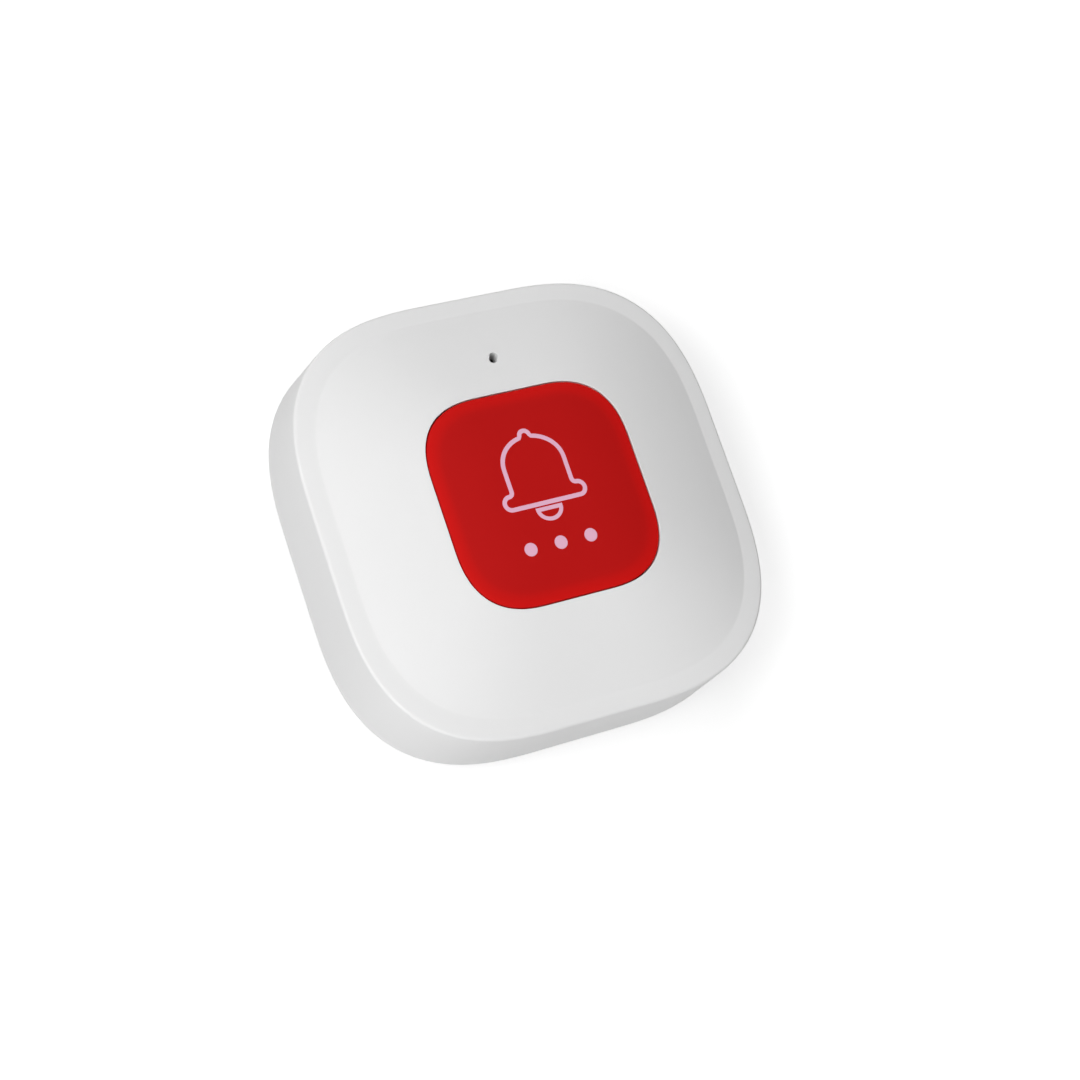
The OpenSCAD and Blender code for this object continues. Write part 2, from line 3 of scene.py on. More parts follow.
import bmesh
import bpy
import numpy as np
from mathutils import Matrix, Vector


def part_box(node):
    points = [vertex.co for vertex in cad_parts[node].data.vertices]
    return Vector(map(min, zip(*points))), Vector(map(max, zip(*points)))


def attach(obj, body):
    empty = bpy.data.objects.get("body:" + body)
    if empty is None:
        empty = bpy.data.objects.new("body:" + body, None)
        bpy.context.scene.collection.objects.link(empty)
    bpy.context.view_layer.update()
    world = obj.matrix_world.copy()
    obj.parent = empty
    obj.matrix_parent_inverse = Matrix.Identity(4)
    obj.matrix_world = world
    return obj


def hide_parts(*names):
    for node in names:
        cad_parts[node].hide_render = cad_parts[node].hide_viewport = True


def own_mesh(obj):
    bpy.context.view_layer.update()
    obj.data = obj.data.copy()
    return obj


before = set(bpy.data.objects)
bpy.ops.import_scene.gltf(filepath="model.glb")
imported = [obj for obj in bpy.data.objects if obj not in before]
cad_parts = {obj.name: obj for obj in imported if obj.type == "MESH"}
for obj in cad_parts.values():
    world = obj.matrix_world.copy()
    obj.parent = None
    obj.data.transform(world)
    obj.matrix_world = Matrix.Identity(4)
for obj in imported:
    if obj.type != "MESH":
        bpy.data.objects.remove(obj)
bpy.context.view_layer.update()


# Front shell: the domed front of the case with its rim band and side walls, injection moulded
# in one piece of white ABS. Bosses under its roof take the screws of the back cover and of the
# circuit board, and a small hole beside the button lets the indicator's light out.

# Sizes are in millimetres: a half is half of a width, and heights count from the back face.
mm = 0.001
body_half, body_flat, body_power = 25.0, 9.8, 2.7
button_half, button_flat, button_power = 11.825, 7.4, 2.55
crease_half, crease_z, dome_rise = 22.42, 12.4, 3.05
opening_half, seat_half, seat_z = 11.965, 14.125, 13.45
wall, inner_half, socket_half = 1.7, 22.87, 23.47
shoulder_half, shoulder_z, dome_half = 24.554, 12.083, 21.9
lip_half, roof_half, skirt_z = 12.3, 21.67, 9.78
parting_z, gasket_top, spigot_top = 2.7, 4.8, 4.2
hole_y, hole_w, hole_l, hole_reach, hole_edge = 16.3, 0.9, 1.4, 1.2, 0.05
hole_lean = math.radians(30)
corner_parts, hole_parts = 26, 8
cover_screw_at, board_screw_at = 16.0, 17.3
cover_screw_places = [(x * cover_screw_at, y * cover_screw_at) for x in (-1, 1) for y in (-1, 1)]
board_screw_places = [(-board_screw_at, 0), (0, -board_screw_at), (board_screw_at, 0)]


def family(half):
    """Half of the straight run, and fullness of the corners, of the rounded square of one half
    size. Both change evenly from the button's outline to the widest outline."""
    share = (half - button_half) / (body_half - button_half)
    run = (button_flat + (body_flat - button_flat) * share) / 2
    return run, button_power + (body_power - button_power) * share


def outline(half):
    """Points round the rounded square of one half size. Each side has even steps across the
    indicator hole, and each corner has even steps along its curve."""
    run, power = family(half)
    turn = np.linspace(0, math.pi / 2, 1500)
    curve = np.stack([np.cos(turn).clip(0), np.sin(turn)], 1) ** (2 / power)
    length = np.r_[0, np.cumsum(np.hypot(*np.diff(curve, axis=0).T))]
    even = np.linspace(0, length[-1], corner_parts + 1)
    corner = np.stack([np.interp(even, length, curve[:, i]) for i in (0, 1)], 1)
    corner = run + (half - run) * corner
    across = np.r_[np.linspace(run, hole_reach, 4)[1:3],
                   np.linspace(hole_reach, -hole_reach, hole_parts + 1),
                   np.linspace(-hole_reach, -run, 4)[1:3]]
    quarter = np.r_[corner, np.stack([across, np.full_like(across, half)], 1)]
    points = []
    for _ in range(4):
        points.append(quarter)
        quarter = np.stack([-quarter[:, 1], quarter[:, 0]], 1)
    return np.concatenate(points)


def rounded(stops, parts=5):
    """Profile through (reach, height, radius) stops, with an arc at each stop that has a radius."""
    points = []
    for i, (reach, height, radius) in enumerate(stops):
        here = np.array([reach, height])
        if not radius:
            points.append(tuple(here))
            continue
        back, ahead = (np.array(stops[j % len(stops)][:2]) - here for j in (i - 1, i + 1))
        back, ahead = back / np.linalg.norm(back), ahead / np.linalg.norm(ahead)
        half_angle = math.acos(np.clip(back @ ahead, -1, 1)) / 2
        inward = (back + ahead) / np.linalg.norm(back + ahead)
        centre = here + inward * radius / math.sin(half_angle)
        first, last = (here + way * radius / math.tan(half_angle) - centre for way in (back, ahead))
        start = math.atan2(first[1], first[0])
        sweep = (math.atan2(last[1], last[0]) - start + math.pi) % (2 * math.pi) - math.pi
        for step in np.linspace(start, start + sweep, parts + 1):
            points.append((centre[0] + radius * math.cos(step),
                           centre[1] + radius * math.sin(step)))
    return points


def skin(rings, closed=False):
    """Points and quads between neighbouring rings, and from the last to the first if closed."""
    count = len(rings[0])
    points = [tuple(point) for ring in rings for point in ring]
    quads = {}
    for i in range(len(rings) if closed else len(rings) - 1):
        low, high = i * count, (i + 1) % len(rings) * count
        for j in range(count):
            k = (j + 1) % count
            quads[i, j] = (low + j, low + k, high + k, high + j)
    return points, quads


def at_height(flat, z):
    """Ring of flat points lifted to one height."""
    return [(x, y, z) for x, y in flat]


def solid(name, points, faces):
    """Object with a closed mesh from points in millimetres, its faces turned outwards."""
    mesh = bpy.data.meshes.new(name)
    mesh.from_pydata([tuple(mm * c for c in point) for point in points], [], list(faces))
    work = bmesh.new()
    work.from_mesh(mesh)
    bmesh.ops.remove_doubles(work, verts=work.verts[:], dist=1e-7)
    bmesh.ops.recalc_face_normals(work, faces=work.faces[:])
    work.to_mesh(mesh)
    work.free()
    piece = bpy.data.objects.new(name, mesh)
    bpy.context.scene.collection.objects.link(piece)
    return piece


def turned(name, profile, centre=(0, 0), parts=48, closed=False):
    """Solid turned about an upright axis from (radius, height) points."""
    turns = np.linspace(0, 2 * math.pi, parts, endpoint=False)
    rings = [[(centre[0] + r * math.cos(a), centre[1] + r * math.sin(a), z) for a in turns]
             for r, z in profile]
    points, quads = skin(rings, closed)
    return solid(name, points, quads.values())


def applied(piece):
    """Makes the result of the piece's modifiers its plain mesh."""
    ready = piece.evaluated_get(bpy.context.evaluated_depsgraph_get())
    plain, old = bpy.data.meshes.new_from_object(ready), piece.data
    piece.modifiers.clear()
    piece.data = plain
    bpy.data.meshes.remove(old)
    return piece


def combined(piece, others, operation):
    """Joins other solids to the piece (UNION) or cuts them out of it (DIFFERENCE)."""
    for other in others:
        step = piece.modifiers.new("step", "BOOLEAN")
        step.operation, step.solver, step.object = operation, "EXACT", other
        applied(piece)
        bpy.data.objects.remove(other)
    return piece


def linear(code):
    """Linear colour of an sRGB hex value."""
    parts = [int(code[i:i + 2], 16) / 255 for i in (1, 3, 5)]
    return [c / 12.92 if c <= 0.04045 else ((c + 0.055) / 1.055) ** 2.4 for c in parts] + [1]


def add(tree, kind, values=(), links=(), **settings):
    """Adds a node with its settings, socket values and links."""
    node = tree.nodes.new(kind)
    for name, value in settings.items():
        setattr(node, name, value)
    for socket, value in dict(values).items():
        node.inputs[socket].default_value = value
    for socket, source in dict(links).items():
        tree.links.new(source, node.inputs[socket])
    return node


def finish(name, code, roughness, metallic=0.0, grain=0.3, depth=0.002, mottle=5.0,
           shade=0.95, stretch=(1, 1, 1), specular=0.5):
    """Material with a surface grain of one size and depth in millimetres and a broad, faint
    mottle in its colour and gloss. Stretch draws the grain out along one axis."""
    made = bpy.data.materials.new(name)
    made.use_nodes = True
    tree = made.node_tree
    tree.nodes.clear()
    colour = linear(code)
    place = add(tree, "ShaderNodeTexCoord")
    drawn = add(tree, "ShaderNodeMapping", {"Scale": stretch}, {"Vector": place.outputs["Object"]})
    fine = add(tree, "ShaderNodeTexNoise", {"Scale": 1 / (grain * mm), "Detail": 2},
               {"Vector": drawn.outputs[0]}, name="grain")
    broad = add(tree, "ShaderNodeTexNoise", {"Scale": 1 / (mottle * mm), "Detail": 3},
                {"Vector": drawn.outputs[0]}, name="mottle")
    tint = add(tree, "ShaderNodeMix", {6: [c * shade for c in colour[:3]] + [1], 7: colour},
               {0: broad.outputs[0]}, data_type="RGBA", name="tint")
    gloss = add(tree, "ShaderNodeMapRange",
                {"To Min": roughness - 0.05, "To Max": roughness + 0.05},
                {"Value": broad.outputs[0]})
    bump = add(tree, "ShaderNodeBump", {"Distance": depth * mm}, {"Height": fine.outputs[0]})
    shader = add(tree, "ShaderNodeBsdfPrincipled",
                 {"Metallic": metallic, "Specular IOR Level": specular},
                 {"Base Color": tint.outputs[2], "Roughness": gloss.outputs[0],
                  "Normal": bump.outputs[0]}, name="surface")
    add(tree, "ShaderNodeOutputMaterial", links={"Surface": shader.outputs[0]})
    return made


def dressed(piece, material, body, nodes=(), sharp=20):
    """Gives a finished piece its material, shading and body, and hides the CAD nodes it stands for.
    """
    piece.data.materials.clear()
    piece.data.materials.append(material)
    piece.data.shade_smooth()
    piece.data.set_sharp_from_angle(angle=math.radians(sharp))
    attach(piece, body)
    if nodes:
        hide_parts(*nodes)
    return piece


# Satin white ABS, as it leaves a finely eroded mould: an even white with a faint, very wide
# highlight and a grain too fine to see as more than a slight softness.
white_abs = finish("satin_moulded_white_ABS", "#ececec", 0.6, grain=0.25, depth=0.0012, mottle=9,
                   shade=0.985, specular=0.2)
dome_apex = dome_rise / (1 - (opening_half / crease_half) ** 2)


def dome_z(half):
    """Height of the domed face where its outline has one half size."""
    return crease_z + dome_apex * (1 - (half / crease_half) ** 2)


foot = [(socket_half, parting_z, 0), (body_half, parting_z, 0.07),
        (shoulder_half, shoulder_z, 0.4), (crease_half, crease_z, 1.4),
        (dome_half, dome_z(dome_half), 0)]
below_hole, above_hole = hole_y - hole_reach, hole_y + hole_reach
dome_rows = np.r_[np.linspace(dome_half, above_hole, 9),
                  np.linspace(above_hole, below_hole, hole_parts + 1)[1:],
                  np.linspace(below_hole, lip_half, 6)[1:]]
mouth = [(lip_half, dome_z(lip_half), 0), (opening_half, dome_z(opening_half), 0.03),
         (opening_half, seat_z, 0.12), (seat_half, seat_z, 0)]
roof_rows = np.r_[np.linspace(seat_half, below_hole, 3),
                  np.linspace(below_hole, above_hole, hole_parts + 1)[1:],
                  np.linspace(above_hole, roof_half, 6)[1:]]
skirt = [(roof_half, dome_z(roof_half) - wall, 0), (inner_half, skirt_z, 0.6),
         (inner_half, gasket_top, 0.1), (socket_half, gasket_top, 0.05),
         (socket_half, parting_z, 0)]
profile = rounded(foot, 8)[:-1]
dome_start = len(profile)
profile += [(h, dome_z(h)) for h in dome_rows] + rounded(mouth, 6)[1:]
roof_start = len(profile)
profile += [(h, dome_z(h) - wall) for h in roof_rows] + rounded(skirt)[1:-1]
points, quads = skin([at_height(outline(h), z) for h, z in profile], closed=True)

# The hole's mouth blends from the square patch left out of the dome to a round-ended edge.
side_start = corner_parts + 3
ring_size = len(outline(body_half))


def patch_edge(top_row, row_step):
    """Point numbers round the square patch, starting at its corner towards +X and +Y."""
    rows = [top_row + row_step * i for i in range(hole_parts + 1)]
    columns = [side_start + i for i in range(hole_parts + 1)]
    way = [(rows[0], c) for c in columns] + [(r, columns[-1]) for r in rows[1:]]
    way += [(rows[-1], c) for c in columns[-2::-1]] + [(r, columns[0]) for r in rows[-2:0:-1]]
    return [r * ring_size + c for r, c in way]


outer_row = dome_start + list(dome_rows).index(above_hole)
inner_row = roof_start + list(roof_rows).index(above_hole)
for i in range(hole_parts):
    for j in range(hole_parts):
        del quads[outer_row + i, side_start + j]
        del quads[inner_row - i - 1, side_start + j]
faces = list(quads.values())
edges = [patch_edge(outer_row, 1)]
turns = [math.radians(45 + 360 * i / (4 * hole_parts)) for i in range(4 * hole_parts)]


def hole_ring(grow, drop, blend=1.0, edge=None):
    """Adds a ring of the hole at a drop under the dome, blended from a patch edge if one is
    given, and returns its point numbers."""
    first = len(points)
    radius, run = hole_w / 2 + grow, (hole_l - hole_w) / 2
    for i, turn in enumerate(turns):
        end = run * np.sign(math.sin(turn + hole_lean))
        x = radius * math.cos(turn) + end * math.sin(hole_lean)
        y = radius * math.sin(turn) + end * math.cos(hole_lean) + hole_y
        if edge:
            x, y = (blend * a + (1 - blend) * b for a, b in zip((x, y), points[edge[i]]))
        points.append((x, y, dome_z(y) - drop))
    return list(range(first, len(points)))


for blend in (0.35, 0.7, 1.0):
    edges.append(hole_ring(hole_edge, 0, blend, edges[0]))
for turn in np.linspace(0, math.pi / 2, 6)[1:]:
    edges.append(hole_ring(hole_edge * (1 - math.sin(turn)), hole_edge * (1 - math.cos(turn))))
edges.append(hole_ring(0, wall / 2))
edges.append(hole_ring(0, wall))
inner_edge = patch_edge(inner_row, -1)
edges += [hole_ring(0.1, wall, 0.5, inner_edge), inner_edge]
for low, high in zip(edges, edges[1:]):
    for i in range(len(turns)):
        j = (i + 1) % len(turns)
        faces.append((low[i], low[j], high[j], high[i]))
front = solid("case_front", points, faces)


def boss(place, radius, bore, low, bore_top, top):
    """Screw boss with a blind bore."""
    stops = [(0, bore_top, 0), (bore, bore_top, 0), (bore, low, 0.15), (radius, low, 0.2),
             (radius, top, 0), (0, top, 0)]
    return turned("boss", rounded(stops, 3), place, 40)


bosses = [boss(place, radius=2.2, bore=1.02, low=spigot_top, bore_top=10.3, top=12.36)
          for place in cover_screw_places]
bosses += [boss(place, radius=1.9, bore=0.82, low=8.9, bore_top=11.55, top=13.14)
           for place in board_screw_places]
combined(front, bosses, "UNION")
dressed(front, white_abs, "housing", ["front_shell"])


def second_finish(piece, material, test):
    """Gives the faces whose middle passes the test another material."""
    piece.data.materials.append(material)
    for side in piece.data.polygons:
        if test(side.center / mm):
            side.material_index = len(piece.data.materials) - 1
    return piece


def in_bore(at):
    """Whether a point lies on the wall of the indicator hole, below its rounded edge."""
    return math.hypot(at.x, at.y - hole_y) < hole_l / 2 + 0.01 and at.z < dome_z(at.y) - hole_edge


# White ABS in the indicator hole, greyer than the face: painted shade for the dim bore, with a
# deeper grain.
painted_bore_shade = finish("white_ABS_with_painted_bore_shade", "#dedede", 0.6, grain=0.2, depth=0.002, mottle=0.8)
second_finish(front, painted_bore_shade, in_bore)


# Call button: the red rounded square in the middle of the dome, moulded in ABS with a soft
# crowned border. A flange holds it under the opening, and a ribbed pusher works the switch.
button_top, button_edge_z, crown_w, crown_rise = 16.0, 15.45, 8.0, 0.55
skirt_half, cap_under, pusher_z = 10.225, 14.2, 13.25
flange_half, flange_low, flange_top = 13.125, 12.35, 13.35
# Band of painted highlight along the button's edge: full over the first width, fading inwards over
# the second.
border_w, border_fade = 0.4, 1.5


def crown_z(half):
    """Height of the button's face where its outline has one half size."""
    return button_top - crown_rise * (np.maximum(0, half - button_half + crown_w) / crown_w) ** 2


def half_through(spots):
    """Half size of the rounded square that passes through each spot, found by halving a span."""
    low, high = np.zeros(len(spots)), np.full(len(spots), body_half)
    for _ in range(30):
        middle = (low + high) / 2
        run, power = family(middle)
        past_run = np.maximum(np.abs(spots) - run[:, None], 0)
        reach = (past_run ** power[:, None]).sum(1) ** (1 / power)
        inside = reach < middle - run
        low, high = np.where(inside, low, middle), np.where(inside, middle, high)
    return high


def overlaid(made, code, amount):
    """Lays a second colour over a material, as strongly as the amount says."""
    tree = made.node_tree
    over = add(tree, "ShaderNodeMix", {7: linear(code)},
               {0: amount(tree), 6: tree.nodes["tint"].outputs[2]}, data_type="RGBA")
    tree.links.new(over.outputs[2], tree.nodes["surface"].inputs["Base Color"])
    return made


# Satin red ABS: a deep, even red with little shine. A lighter, purer red is painted on the
# crowned border: a painted highlight, standing in for the light that the border catches.
red_abs = finish("satin_moulded_red_ABS", "#bc1514", 0.5, grain=0.22, depth=0.0015, mottle=6,
                 shade=0.97, specular=0.06)
overlaid(red_abs, "#ce1412",
         lambda tree: add(tree, "ShaderNodeAttribute", attribute_name="border").outputs["Fac"])

under = outline(skirt_half)
flat_half, edge_half = button_half - crown_w, button_half - 0.4
face = outline(flat_half)
rings = [at_height(under * k, cap_under) for k in np.linspace(0, 1, 6)[:-1]]
rim = [(skirt_half - 1, cap_under, 0), (skirt_half, cap_under, 0.3), (skirt_half, flange_low, 0.1),
       (flange_half, flange_low, 0.15), (flange_half, flange_top, 0.15),
       (button_half, flange_top, 0.1), (button_half, button_edge_z, 0.09),
       (edge_half, crown_z(edge_half), 0)]
rings += [at_height(outline(h), z) for h, z in rounded(rim)[1:-1]]
rings += [at_height(outline(h), crown_z(h)) for h in np.linspace(edge_half, flat_half, 14)]
rings += [at_height(face * k, button_top) for k in np.linspace(1, 0, 7)[1:]]
points, quads = skin(rings)
button = solid("red_push_button", points, quads.values())


def bar(name, length, width, low, high, turn):
    """Straight bar through the middle axis, turned about it."""
    c, s = math.cos(turn), math.sin(turn)
    flat = [(x * length / 2, y * width / 2) for x, y in ((1, 1), (-1, 1), (-1, -1), (1, -1))]
    flat = [(x * c - y * s, x * s + y * c) for x, y in flat]
    points = at_height(flat, low) + at_height(flat, high)
    sides = [(i, (i + 1) % 4, (i + 1) % 4 + 4, i + 4) for i in range(4)]
    return solid(name, points, sides + [(3, 2, 1, 0), (4, 5, 6, 7)])


pusher_r, pusher_top, rib_w, rib_low, rib_top = 2.5, 14.5, 1.0, 13.3, 14.4
pusher = [(0, pusher_z, 0), (pusher_r, pusher_z, 0.2), (pusher_r, pusher_top, 0),
          (0, pusher_top, 0)]
stiffeners = [turned("pusher", rounded(pusher, 3))]
stiffeners += [bar("rib", 2 * skirt_half, rib_w, rib_low, rib_top, math.radians(a))
               for a in (45, 135)]
combined(button, stiffeners, "UNION")
# Strength of the painted highlight along the border, kept on each point of the button.
spots = np.array([point.co[:2] for point in button.data.vertices]) / mm
border = np.clip((half_through(spots) - button_half + border_w + border_fade) / border_fade, 0, 1)
border = border ** 2 * (3 - 2 * border)
button.data.attributes.new("border", "FLOAT", "POINT").data.foreach_set("value", border)
dressed(button, red_abs, "button", ["call_button"])


# Print on the button: a plain bell sign and three dots in pale pink ink, pad printed on the
# crowned face of the button as a film a hundredth of a millimetre thick.
ink_low, ink_top = button_top - 0.01, button_top + 0.012
stroke_w, print_x, print_y = 0.49, -0.28, 0.07

# Pale pink printing ink, slightly uneven where the red shows through.
pink_ink = finish("pad_printed_pink_ink", "#edb9d2", 0.55, grain=0.12, depth=0.001, mottle=0.8,
                  shade=0.94, specular=0.12)


def stroke(name, way, width, closed=False, top=ink_top):
    """Flat band of ink of one width along a path."""
    way = np.array(way)
    ahead = np.roll(way, -1, 0) - np.roll(way, 1, 0)
    if not closed:
        ahead[0], ahead[-1] = way[1] - way[0], way[-1] - way[-2]
    side = np.stack([-ahead[:, 1], ahead[:, 0]], 1)
    side = side / np.linalg.norm(ahead, axis=1)[:, None] * width / 2
    rings = [at_height(way + side, ink_low), at_height(way - side, ink_low),
             at_height(way - side, top), at_height(way + side, top)]
    rings = [list(ring) for ring in zip(*rings)]
    points, quads = skin(rings, closed)
    caps = [] if closed else [(0, 1, 2, 3), tuple(len(points) - 4 + i for i in (3, 2, 1, 0))]
    return solid(name, points, list(quads.values()) + caps)


def arc(centre, rx, ry, start, end, parts):
    """Points along an oval arc, in degrees."""
    return [(centre[0] + rx * math.cos(a), centre[1] + ry * math.sin(a))
            for a in np.radians(np.linspace(start, end, parts))]


bell_half, bell_low, bell_high, bell_round = 3.6, -1.3, 6.35, 3.15
foot_x, foot_r, hollow_r, knob_r, knob_top = 4.05, 0.75, 0.45, 0.58, 7.02
right_side = arc((foot_x, bell_low + foot_r), foot_r, foot_r, -90, 90, 13)
hollow_y = bell_low + 2 * foot_r + hollow_r
right_side += arc((bell_half + hollow_r, hollow_y), hollow_r, hollow_r, 270, 180, 7)[1:]
shoulder = math.degrees(math.acos(1.25 * knob_r / bell_half))
right_side += arc((0, bell_high - bell_round), bell_half, bell_round, 0, shoulder, 17)
right_side += arc((0, knob_top - knob_r), knob_r, knob_r, 8, 90, 9)
bell = right_side + [(-x, y) for x, y in reversed(right_side[:-1])]
ink = [stroke("bell_line", bell, stroke_w, True)]
clapper_w, clapper_h, clapper_y, clapper_stroke = 1.36, 1.22, -1.94, 0.44
clapper = arc((0, clapper_y), clapper_w, clapper_h, 180, 360, 25)
ink.append(stroke("bell_clapper", clapper, clapper_stroke))
lid_half = clapper_w + clapper_stroke / 2
ink.append(stroke("clapper_lid", [(-lid_half, clapper_y), (lid_half, clapper_y)], clapper_stroke,
                  top=ink_top + 0.001))


def repeated(name, copy, places, material, turn=0.0):
    """One plain mesh with a copy of an object at each place, made by Geometry Nodes."""
    tree = bpy.data.node_groups.new(name, "GeometryNodeTree")
    sockets = {}
    for label, kind in (("Places", "Geometry"), ("Copy", "Object"),
                        ("Turn between copies", "Float"), ("Finish", "Material")):
        sockets[label] = tree.interface.new_socket(label, in_out="INPUT",
                                                   socket_type="NodeSocket" + kind)
    tree.interface.new_socket("Pieces", in_out="OUTPUT", socket_type="NodeSocketGeometry")
    given = add(tree, "NodeGroupInput")
    source = add(tree, "GeometryNodeObjectInfo", links={"Object": given.outputs["Copy"]})
    count = add(tree, "GeometryNodeInputIndex")
    angle = add(tree, "ShaderNodeMath", operation="MULTIPLY",
                links={0: count.outputs[0], 1: given.outputs["Turn between copies"]})
    way = add(tree, "ShaderNodeCombineXYZ", links={"Z": angle.outputs[0]})
    copies = add(tree, "GeometryNodeInstanceOnPoints", links={
        "Points": given.outputs["Places"], "Instance": source.outputs["Geometry"],
        "Rotation": way.outputs[0]})
    real = add(tree, "GeometryNodeRealizeInstances", links={"Geometry": copies.outputs[0]})
    coated = add(tree, "GeometryNodeSetMaterial", links={
        "Geometry": real.outputs[0], "Material": given.outputs["Finish"]})
    add(tree, "NodeGroupOutput", links={"Pieces": coated.outputs[0]})
    mesh = bpy.data.meshes.new(name)
    mesh.from_pydata([tuple(mm * c for c in place) for place in places], [], [])
    piece = bpy.data.objects.new(name, mesh)
    bpy.context.scene.collection.objects.link(piece)
    step = piece.modifiers.new("copies", "NODES")
    step.node_group = tree
    for label, value in (("Copy", copy), ("Turn between copies", turn), ("Finish", material)):
        step[sockets[label].identifier] = value
    applied(piece)
    bpy.data.objects.remove(copy)
    bpy.data.node_groups.remove(tree)
    return piece


dot_r, dot_step, dot_y = 0.74, 3.6, -5.9
dot = turned("dot", [(0, ink_low), (dot_r, ink_low), (dot_r, ink_top), (0, ink_top)], parts=40)
dot_places = [(i * dot_step, dot_y, 0) for i in (-1, 0, 1)]
ink.append(repeated("dots", dot, dot_places, pink_ink))
with bpy.context.temp_override(active_object=ink[0], selected_editable_objects=ink):
    bpy.ops.object.join()
sign = ink[0]
sign.name = "printed_bell_sign"
spots = np.array([point.co[:] for point in sign.data.vertices]) / mm + (print_x, print_y, 0)
spots[:, 2] += crown_z(half_through(spots[:, :2])) - button_top
sign.data.vertices.foreach_set("co", (spots * mm).ravel())
dressed(sign, pink_ink, "button")


# Circuit board: glass-fibre laminate under green solder mask, notched at its corners for the
# bosses of the cover screws. Copper tracks show through the mask as paler lines.
board_low, board_top, track_w, bevel_reach = 7.9, 8.9, 0.2, 0.1


def softened(name, node, width, parts=2):
    """Copy of a CAD node with its triangles merged into whole faces and its edges bevelled."""
    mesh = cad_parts[node].data.copy()
    if "custom_normal" in mesh.attributes:
        mesh.attributes.remove(mesh.attributes["custom_normal"])
    work = bmesh.new()
    work.from_mesh(mesh)
    bmesh.ops.remove_doubles(work, verts=work.verts[:], dist=2e-6)
    bmesh.ops.dissolve_limit(work, angle_limit=math.radians(1.5), verts=work.verts[:],
                             edges=work.edges[:])
    work.to_mesh(mesh)
    work.free()
    piece = bpy.data.objects.new(name, mesh)
    bpy.context.scene.collection.objects.link(piece)
    step = piece.modifiers.new("edges", "BEVEL")
    step.width, step.segments, step.limit_method = width * mm, parts, "ANGLE"
    step.angle_limit = math.radians(30)
    return applied(piece)


def tracked(name, mask, track, pitch, patch):
    """Solder mask over copper tracks, which run along the board in some patches and across it in
    others. The tracks are 0.15 mm wide, drawn at 0.2 mm so that they show."""
    made = finish(name, mask, 0.32, grain=0.5, depth=0.002, mottle=3, shade=0.9)

    def lines(tree):
        place = add(tree, "ShaderNodeTexCoord")
        axes = add(tree, "ShaderNodeSeparateXYZ", links={0: place.outputs["Object"]})
        cells = add(tree, "ShaderNodeTexVoronoi", {"Scale": 1 / (patch * mm)},
                    {"Vector": place.outputs["Object"]}, distance="CHEBYCHEV")
        draw = add(tree, "ShaderNodeSeparateColor", links={0: cells.outputs["Color"]})
        drawn = []
        for axis, side in (("X", "LESS_THAN"), ("Y", "GREATER_THAN")):
            off = add(tree, "ShaderNodeMath", {1: pitch / 2 * mm}, {0: axes.outputs[axis]},
                      operation="PINGPONG")
            line = add(tree, "ShaderNodeMath", {1: track_w / 2 * mm}, {0: off.outputs[0]},
                       operation="LESS_THAN")
            here = add(tree, "ShaderNodeMath", {1: 0.5}, {0: draw.outputs[0]}, operation=side)
            drawn.append(add(tree, "ShaderNodeMath", links={0: line.outputs[0], 1: here.outputs[0]},
                             operation="MULTIPLY").outputs[0])
        return add(tree, "ShaderNodeMath", links=dict(enumerate(drawn)), operation="ADD").outputs[0]

    return overlaid(made, track, lines)


green_mask = tracked("green_solder_mask_on_laminate", "#0f4a2b", "#1d6b3d", 0.7, 4.5)
board = softened("board_laminate", "circuit_board", 0.06)
dressed(board, green_mask, "housing", ["circuit_board"])

# Sawn edge of the laminate: raw glass fibre and resin, dull and yellowish green.
sawn_laminate = finish("sawn_glass_fibre_laminate", "#868f5f", 0.7, grain=0.1, depth=0.004,
                       mottle=0.6, shade=0.8)
second_finish(board, sawn_laminate,
              lambda at: board_low + bevel_reach < at.z < board_top - bevel_reach)

# Bright tin on copper: pale and slightly uneven where the solder has flowed.
solder_tin = finish("tinned_copper", "#c8c7c2", 0.3, 1.0, grain=0.2, depth=0.002, mottle=0.9,
                    shade=0.85)
pad_r, pad_low, pad_top = 0.55, board_top - 0.02, board_top + 0.04
pad_first, pad_step, pad_y = -5.5, 2.2, -13.6
pad = [(0, pad_low, 0), (pad_r, pad_low, 0), (pad_r, pad_top, 0.03), (0, pad_top, 0)]
pad = turned("pad", rounded(pad, 3), parts=28)
pad_places = [(pad_first + pad_step * i, pad_y, 0) for i in range(6)]
dressed(repeated("test_pads", pad, pad_places, solder_tin), solder_tin, "housing")


# Board screws: three small pan-head screws with a cross recess, zinc plated steel, driven from
# below through the board into the bosses of the front.

# Zinc plating: pale bluish steel, evenly bright with faint turning marks.
zinc_steel = finish("zinc_plated_steel", "#c3c6c9", 0.3, 1.0, grain=0.15, depth=0.001, mottle=1.2,
                    shade=0.86)


def pan_screw(name, shank_r, length, head_r, head_h, pitch):
    """Pan-head screw, head down and its seat at zero, with rings for its thread and a cross
    recess."""
    stops = [(0, -head_h, 0), (head_r, -head_h, head_h * 0.55), (head_r, 0, 0.08), (shank_r, 0, 0)]
    profile = rounded(stops, 5)
    for z in np.arange(0.4, length - 0.6, pitch):
        profile += [(shank_r * 0.84, z), (shank_r, z + pitch / 2)]
    profile += [(shank_r * 0.8, length - 0.5), (shank_r * 0.5, length), (0, length)]
    screw = turned(name, profile, parts=36)
    arms = []
    for turn in (0, math.pi / 2):
        arms.append(bar("arm", head_r * 1.15, head_r * 0.34, -head_h - 0.1, -head_h * 0.45, turn))
    return combined(screw, arms, "DIFFERENCE")


screw = pan_screw("board_screw", shank_r=0.8, length=3.4, head_r=1.5, head_h=1.0, pitch=0.4)
places = at_height(board_screw_places, board_low)
screws = repeated("board_fixing_screws", screw, places, zinc_steel, turn=0.9)
dressed(screws, zinc_steel, "housing", ["board_screws"])


